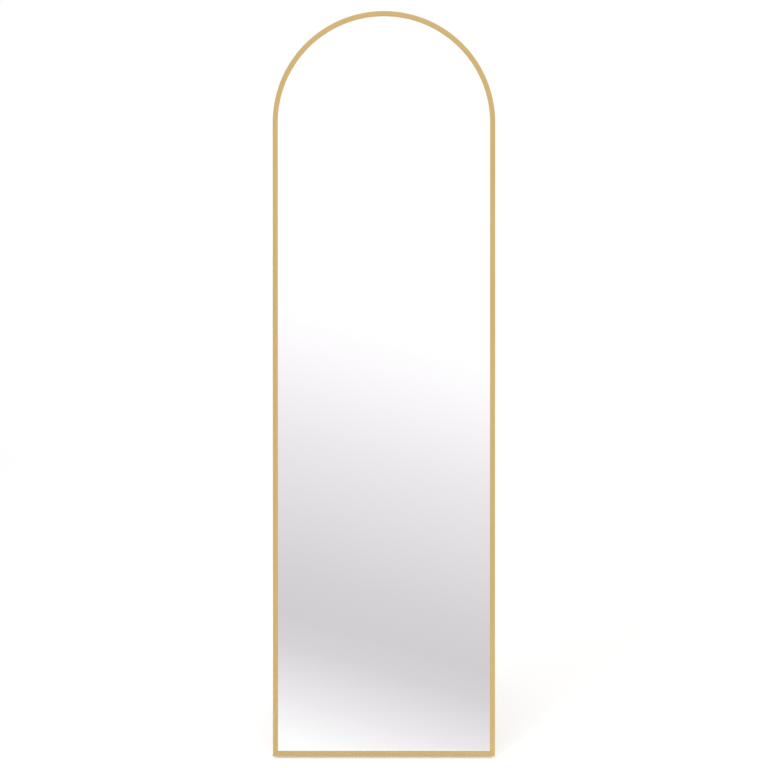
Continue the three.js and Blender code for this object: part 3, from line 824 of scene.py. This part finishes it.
def makeBrace():
    reach, half = brace["reach"], brace["height"] / 2
    piece = addBlock("brace", (-reach, bar["channel"] + room, -half), (reach, bar["rear"] - room, half))
    edit(piece)
    pick("FACE", lambda at, normal: abs(normal.x) > mostly)
    bpy.ops.mesh.delete(type="ONLY_FACE")
    pick("EDGE", runsAlong("X"))
    bpy.ops.mesh.bevel(offset=brace["corner"], segments=brace["cornerSteps"])
    bpy.ops.object.mode_set(mode="OBJECT")
    useModifier(piece, "SOLIDIFY", thickness=brace["wall"], offset=-1, use_even_offset=True)
    smooth(piece)
    return piece


# pan head screws with a cross recess; no two stand at the same turn
screw = {
    "radius": 1.75, "length": 9.5, "point": 1.6, "tip": 0.2, "head": 3.5, "edge": 0.15, "rim": 0.8,
    "height": 2.3, "flat": 0.04, "slot": 0.95, "reach": 2.15, "sunk": 1.25, "taper": 0.6, "taperTop": 4,
    "turn": 37,
}


def makeScrew():
    end, radius = -screw["length"], screw["radius"]
    rings = [(screw["tip"], end), (radius, end + screw["point"]), (radius, 0)]
    rings += chamferRings(screw["head"], 0, screw["edge"]) + domeRings(screw, 0)
    piece = addTurned("panScrew", "Y", rings)
    half, reach = screw["slot"] / 2, screw["reach"]
    low, top = screw["height"] - screw["sunk"], screw["taperTop"]
    cross = addBlock("cross", (-reach, low, -half), (reach, top, half))
    combine(cross, addBlock("other", (-half, low, -reach), (half, top, reach)), "UNION")
    edit(cross)
    pick("FACE", looks(0, -1, 0))
    bpy.ops.transform.resize(value=(screw["taper"], 1, screw["taper"]), center_override=(0, low, 0))
    bpy.ops.object.mode_set(mode="OBJECT")
    combine(piece, cross, "DIFFERENCE")
    smooth(piece, angle=40)
    return piece


# black hinge brackets: a plate on the middle brace with two ears
bracket = {
    "sheet": 2.5, "wing": 29.3, "half": 13, "corner": 3, "cornerSteps": 6, "earIn": 9.8, "earRadius": 9,
    "earSides": 64, "earRoot": 1.2, "bore": 3.3, "boreSides": 32, "soft": 0.5, "screwOut": 20.8,
}


def makeBracket():
    wing, half, sheet, pivot = bracket["wing"], bracket["half"], bracket["sheet"], stand["pivotBack"]
    piece = addBlock("hingeBracket", (-wing, onBrace, -half), (wing, onBrace + sheet, half))
    edit(piece)
    pick("EDGE", runsAlong("Y"))
    bpy.ops.mesh.bevel(offset=bracket["corner"], segments=bracket["cornerSteps"])
    bpy.ops.object.mode_set(mode="OBJECT")
    radius, sides = bracket["earRadius"], bracket["earSides"]
    for low in (-bracket["earIn"] - sheet, bracket["earIn"]):
        ear = addRound("ear", radius, (low, pivot, 0), (low + sheet, pivot, 0), "X", sides)
        edit(ear)
        cutOff((0, pivot, 0), (0, -1, 0))
        pick("FACE", looks(0, -1, 0))
        extrude(y=onBrace + sheet - bracket["earRoot"] - pivot)
        bpy.ops.object.mode_set(mode="OBJECT")
        combine(piece, ear, "UNION")
    span = wing + past
    hole = addRound("hole", bracket["bore"], (-span, pivot, 0), (span, pivot, 0), "X", bracket["boreSides"])
    combine(piece, hole, "DIFFERENCE")
    softenEdges(piece, bracket["soft"], segments=3)
    smooth(piece)
    return piece


# the pivot: a button head bolt through both ears and the leg, with nylon washers and a lock nut
earSeat = bracket["earIn"] + bracket["sheet"] + room
bolt = {
    "radius": 3, "root": 2.6, "pitch": 1, "threads": 4, "crest": 0.1, "lead": 0.3, "runOut": 0.4,
    "end": -20.1, "head": 5.25, "edge": 0.2, "rim": 1, "height": 3.3, "flat": 0.04, "key": 2.31,
    "keyDeep": 2,
}


def makeBolt():
    radius, root, pitch = bolt["radius"], bolt["root"], bolt["pitch"]
    rings = chamferRings(root, bolt["end"], bolt["lead"])
    for turn in range(bolt["threads"]):
        start = bolt["end"] + bolt["lead"] + turn * pitch
        crest = start + (pitch - bolt["crest"]) / 2
        rings += [(radius, crest), (radius, crest + bolt["crest"]), (root, start + pitch)]
    rings += [(radius, rings[-1][1] + bolt["runOut"]), (radius, earSeat)]
    rings += chamferRings(bolt["head"], earSeat, bolt["edge"]) + domeRings(bolt, earSeat)
    piece = addTurned("pivotBolt", "X", rings)
    top = earSeat + bolt["height"]
    key = addRound("key", bolt["key"], (top - bolt["keyDeep"], 0, 0), (top + past, 0, 0), "X", sides=6)
    combine(piece, key, "DIFFERENCE")
    smooth(piece, angle=40)
    return piece


# a hexagon with a round collar at its far end
nut = {
    "flats": 10, "end": -18.6, "chamfer": 0.5, "chamferOut": 0.1, "bore": 3.15, "sink": 0.4,
    "collar": 1.8, "collarRadius": 4.4, "collarLap": 1, "sides": 96,
    "collarEdge": ((0.6, 0), (0.15, 0.2), (0, 0.6)),  # how far in from its side, and how far from its end
}


def makeNut():
    corner = nut["flats"] / math.sqrt(3)
    end, seat, waist = nut["end"], -earSeat, nut["end"] + nut["collar"]
    piece = addRound("lockNut", corner, (waist, 0, 0), (seat, 0, 0), "X", sides=6)
    flats, chamfer, wide = nut["flats"] / 2, nut["chamfer"], corner + nut["chamferOut"]
    cone = [(flats, waist), (wide, waist + chamfer), (wide, seat - chamfer), (flats, seat)]
    combine(piece, addTurned("cone", "X", cone, nut["sides"]), "INTERSECT")
    collar = [(nut["collarRadius"] - inward, end + along) for inward, along in nut["collarEdge"]]
    collar += [(nut["collarRadius"], waist + nut["collarLap"])]
    combine(piece, addTurned("collar", "X", collar), "UNION")
    bore, sink = nut["bore"], nut["sink"]
    tool = [(bore, end - past), (bore, seat - sink), (bore + sink + past, seat + past)]
    combine(piece, addTurned("bore", "X", tool), "DIFFERENCE")
    smooth(piece, angle=30)
    return piece


# one on each side of the leg, between it and the ear
washer = {"radius": 7, "bore": 3.3, "soft": 0.22}


def makeWasher():
    low, high = tube["radius"] + room, bracket["earIn"] - room
    piece = addRound("pivotWasher", washer["radius"], (low, 0, 0), (high, 0, 0), "X")
    bore = addRound("bore", washer["bore"], (low - past, 0, 0), (high + past, 0, 0), "X")
    combine(piece, bore, "DIFFERENCE")
    softenEdges(piece, washer["soft"], segments=3)
    smooth(piece)
    return piece


# the folding stand: one tube down the left leg, along the floor and up the right leg
tube = {
    "radius": 8, "sides": 48, "wall": 1.2, "top": 11.236, "bend": 45, "bendSteps": 20, "bore": 3.3,
    "boreSides": 32,
}


def makeStandTube():
    half, top, bend = stand["halfSpacing"], tube["top"], tube["bend"]
    piece = addCircle("standTube", tube["radius"], (-half, 0, top), tube["sides"])
    edit(piece)
    straight = stand["legLength"] - bend
    extrude(z=-straight - top)
    for side, along, up in ((-1, 2 * (half - bend), 0), (1, 0, straight + top)):
        centre = (side * (half - bend), 0, -straight)
        bpy.ops.mesh.spin(steps=tube["bendSteps"], angle=math.pi / 2, center=centre, axis=(0, 1, 0))
        extrude(x=along, z=up)
    faceOutwards()
    bpy.ops.object.mode_set(mode="OBJECT")
    useModifier(piece, "SOLIDIFY", thickness=tube["wall"], offset=-1)
    span = half + tube["radius"] + past
    hole = addRound("hole", tube["bore"], (-span, 0, 0), (span, 0, 0), "X", tube["boreSides"])
    combine(piece, hole, "DIFFERENCE")
    smooth(piece)
    return piece


# the plugs that close the tube's ends, each with a low dome
plug = {
    "capEdge": 0.2, "stem": 6.5, "stemEdge": 0.6, "low": -5.5, "high": 2.3,
    "dome": ((0, 1), (0.3, 0.45), (1.1, 0.1), (2.5, 0)),  # how far in from its side, and below its top
}


def makePlug():
    stem, cap = plug["stem"], tube["radius"]
    rings = chamferRings(stem, plug["low"], plug["stemEdge"]) + [(stem, room)]
    rings += chamferRings(cap, room, plug["capEdge"])
    rings += [(cap - inward, plug["high"] - below) for inward, below in plug["dome"]]
    piece = addTurned("endPlug", "Z", rings)
    smooth(piece, angle=50)
    return piece


# ribbed rubber sleeves, flat where they stand on the floor
sleeve = {
    "radius": 11.09, "flat": 11, "half": 22.5, "bore": 8.02, "at": 69.5, "sides": 64,
    "ribs": 9, "lip": 3, "groove": 0.55, "grooveWide": 1.4, "grooveSlope": 0.35,
    "edge": ((0.9, 0), (0.25, 0.25), (0, 0.9)),  # how far in from its side, and how far from its end
}


def makeSleeve():
    radius, half, lip, groove = sleeve["radius"], sleeve["half"], sleeve["lip"], sleeve["groove"]
    slope, wide = sleeve["grooveSlope"], sleeve["grooveWide"]
    edge = [(radius - inward, half - along) for inward, along in sleeve["edge"]]
    rings = [(size, -place) for size, place in edge]
    for rib in range(sleeve["ribs"]):
        start = lip - half + rib * 2 * (half - lip) / sleeve["ribs"]
        rings += [(radius, start), (radius - groove, start + slope)]
        rings += [(radius - groove, start + wide - slope), (radius, start + wide)]
    piece = addTurned("footSleeve", "X", rings + edge[::-1], sleeve["sides"])
    edit(piece)
    cutOff((0, 0, -sleeve["flat"]), (0, 0, -1))
    bpy.ops.object.mode_set(mode="OBJECT")
    span = half + past
    combine(piece, addRound("bore", sleeve["bore"], (-span, 0, 0), (span, 0, 0), "X"), "DIFFERENCE")
    smooth(piece, angle=25)
    return piece


# strap hangers: a strip rolled round the ring's straight side and screwed down over its own tail
strap = {
    "at": 150, "up": 1416, "sheet": 1, "half": 6.5, "roll": 2.05, "rollSteps": 36,
    "neck": 1.5, "neckSteps": 10, "apart": 0.02, "tail": -27, "tailCorner": 3, "tailSteps": 6,
    "soft": 0.16, "screwDrop": 21.5,
}


def makeStrap():
    sheet, roll, neck, tail = strap["sheet"], strap["roll"], strap["neck"], strap["tail"]
    piece = addSheet("hangerStrap", 2 * strap["half"], sheet, (0, sheet / 2, tail))
    edit(piece)
    extrude(z=-tail)
    # the roll and the neck are two arcs that meet on the line between their centres
    rollBack = sheet / 2 + roll
    neckBack = 1.5 * sheet + strap["apart"] + neck
    neckUp = -math.sqrt((roll + neck) ** 2 - (neckBack - rollBack) ** 2)
    under = math.atan2(-neckUp, neckBack - rollBack)
    arcs = (
        (strap["rollSteps"], math.pi + under, (0, rollBack, 0)),
        (strap["neckSteps"], -under, (0, neckBack, neckUp)),
    )
    for steps, angle, centre in arcs:
        bpy.ops.mesh.spin(steps=steps, angle=angle, center=centre, axis=(1, 0, 0))
    extrude(z=tail - neckUp)
    faceOutwards()
    isThick = runsAlong("Y")
    pick("EDGE", lambda a, b: isThick(a, b) and a.z < tail + close)
    bpy.ops.mesh.bevel(offset=strap["tailCorner"], segments=strap["tailSteps"])
    bpy.ops.object.mode_set(mode="OBJECT")
    softenEdges(piece, strap["soft"], angle=50)
    smooth(piece)
    return piece


# D rings: a straight side in the strap's roll, and a bow below
ring = {
    "wire": 1.25, "sides": 20, "half": 10, "corner": 2.5, "cornerSteps": 10, "bow": -6, "bowSteps": 40,
}


def makeRing():
    half, corner, bow = ring["half"], ring["corner"], ring["bow"]
    quarter = math.pi / 2
    piece = addCircle(
        "hangerRing", ring["wire"], (corner - half, 0, 0), ring["sides"], rotation=(0, quarter, 0)
    )
    edit(piece)

    def turnRound(across, up, angle, steps):
        bpy.ops.mesh.spin(steps=steps, angle=-angle, center=(across, 0, up), axis=(0, 1, 0))

    extrude(x=2 * (half - corner))
    turnRound(half - corner, -corner, quarter, ring["cornerSteps"])
    extrude(z=bow + corner)
    turnRound(0, bow, math.pi, ring["bowSteps"])
    extrude(z=-bow - corner)
    turnRound(corner - half, -corner, quarter, ring["cornerSteps"])
    faceOutwards(doubles=close)
    bpy.ops.object.mode_set(mode="OBJECT")
    smooth(piece, angle=60)
    return piece


# clear pads under the bottom rail, cut level with the floor
pad = {
    "at": 194, "half": 25, "front": 19, "back": 29.5, "low": -9, "corner": 2, "cornerSteps": 5, "soft": 0.3,
}


def makePad():
    low, high = (-pad["half"], pad["front"], pad["low"]), (pad["half"], pad["back"], -room)
    piece = addBlock("footPad", low, high)
    edit(piece)
    pick("EDGE", runsAlong("Z"))
    bpy.ops.mesh.bevel(offset=pad["corner"], segments=pad["cornerSteps"])
    bpy.ops.mesh.select_all(action="SELECT")
    cutOff((0, 0, -leaning["rise"] / math.cos(lean)), (0, math.sin(lean), -math.cos(lean)))
    bpy.ops.object.mode_set(mode="OBJECT")
    softenEdges(piece, pad["soft"], segments=3, angle=50)
    smooth(piece, angle=50)
    return piece


# clear buttons behind the arch, for a wall
bumper = {
    "radius": 5, "edge": 0.15, "rim": 0.9, "height": 2.5, "shoulder": 1.6, "shoulderSteps": 6,
    "flats": (2.8, 0.5), "around": 24,
}


def makeBumper():
    radius, height, rim = bumper["radius"], bumper["height"], bumper["rim"]
    shoulder, steps = bumper["shoulder"], bumper["shoulderSteps"]
    rings = chamferRings(radius, 0, bumper["edge"]) + [(radius, rim)]
    for step in range(1, steps + 1):
        angle = step / (steps + 1) * math.pi / 2
        size = radius - shoulder + shoulder * math.cos(angle)
        rings.append((size, rim + (height - rim) * math.sin(angle)))
    piece = addTurned("wallBumper", "Y", rings + [(flat, height) for flat in bumper["flats"]])
    smooth(piece, angle=50)
    return piece


# everything goes to its place; what repeats is one model with a copy, and a mesh, for each place
makers = (
    makeBrace, makeScrew, makeBracket, makeBolt, makeNut, makeWasher, makeStandTube, makePlug, makeSleeve,
    makeStrap, makeRing, makePad, makeBumper,
)
places = {maker: [] for maker in makers}
onFlange = bar["depth"] + room
flangeMiddle = (bar["wall"] + bar["reach"]) / 2  # how far in from the frame's outer side
keyScrew = 30  # how far along from a corner
hands = (("left", -1), ("right", 1))


def onMirror(x, y, z):
    return mirrorPlace @ Matrix.Translation((x, y, z))


def turned(angle, axis):
    return Matrix.Rotation(angle, 4, axis)


def put(maker, name, node, place, slot, body="mirror"):
    places[maker].append((name, node, place, body, slot))


def putScrew(name, node, x, y, z):
    turn = math.radians(screw["turn"] * len(places[makeScrew]))
    put(makeScrew, name, node, onMirror(x, y, z) @ turned(turn, "Y"), "zinc_plated")


for level, up in brace["up"].items():
    put(makeBrace, f"brace_{level}Bar", f"brace_{level}", onMirror(0, 0, up), "mill_aluminium")
put(makeStandTube, "standTubeBent", "stand_tube", standPlace, "black_paint", "stand")

for hand, side in hands:
    stile, x = side * (bar["outer"] - flangeMiddle), side * (bar["outer"] - keyScrew)
    putScrew(f"screwStile_{hand}", f"corner_screw_{hand}_stile", stile, onFlange, keyScrew)
    putScrew(f"screwRail_{hand}", f"corner_screw_{hand}_rail", x, onFlange, flangeMiddle)
    for level, up in brace["up"].items():
        putScrew(f"screwBrace_{level}_{hand}", f"brace_screw_{level}_{hand}", stile, onFlange, up)

    hinge, up, onBracket = side * stand["halfSpacing"], stand["pivotUp"], onBrace + bracket["sheet"] + room
    put(makeBracket, f"hingeBracket_{hand}", f"hinge_bracket_{hand}", onMirror(hinge, 0, up), "black_paint")
    pivot = onMirror(hinge, stand["pivotBack"], up) @ turned(0 if side > 0 else math.pi, "Z")
    put(makeBolt, f"pivotBolt_{hand}", f"pivot_bolt_{hand}", pivot, "zinc_plated")
    put(makeNut, f"lockNut_{hand}", f"lock_nut_{hand}", pivot, "zinc_plated")
    for end, way, turn in (("inner", -side, math.pi), ("outer", side, 0)):
        x = hinge + way * bracket["screwOut"]
        putScrew(f"screwBracket_{hand}_{end}", f"bracket_screw_{hand}_{end}", x, onBracket, up)
        place = pivot @ turned(turn, "Z")
        put(makeWasher, f"pivotWasher_{hand}_{end}", f"pivot_washer_{hand}_{end}", place, "white_nylon")

    x, up, sheet = side * strap["at"], strap["up"], strap["sheet"]
    onStrap = onBrace + 2 * sheet + room
    putScrew(f"screwStrap_{hand}", f"hanger_screw_{hand}", x, onStrap, up - strap["screwDrop"])
    put(makeStrap, f"hangerStrap_{hand}", f"hanger_strap_{hand}", onMirror(x, onBrace, up), "zinc_plated")
    hanging = onMirror(x, onBrace + sheet / 2 + strap["roll"], up) @ turned(lean, "X")
    put(makeRing, f"hangerRing_{hand}", f"hanger_ring_{hand}", hanging, "zinc_plated", f"ring_{hand}")

    leg = standPlace @ Matrix.Translation((side * stand["halfSpacing"], 0, tube["top"]))
    put(makePlug, f"endPlug_{hand}", f"end_plug_{hand}", leg, "black_nylon", "stand")
    foot = standPlace @ Matrix.Translation((side * sleeve["at"], 0, -stand["legLength"]))
    foot = foot @ turned(-math.radians(stand["spread"]), "X")
    put(makeSleeve, f"footSleeve_{hand}", f"foot_sleeve_{hand}", foot, "black_rubber", "stand")

    put(makePad, f"footPad_{hand}", f"foot_pad_{hand}", onMirror(side * pad["at"], 0, 0), "clear_rubber")
    around, radius = side * math.radians(bumper["around"]), bar["outer"] - flangeMiddle
    place = onMirror(radius * math.sin(around), onFlange, bar["spring"] + radius * math.cos(around))
    put(makeBumper, f"wallBumper_{hand}", f"wall_bumper_{hand}", place, "clear_rubber")

for maker in makers:
    model = maker()
    model.data.materials.clear()
    for name, node, place, body, slot in places[maker]:
        piece = copyOf(model, name)
        piece.data.materials.append(finishes[slot])
        fit(piece, place, body, slot, node)
    bpy.data.objects.remove(model)
    print("placed:", len(places[maker]), places[maker][0][0])
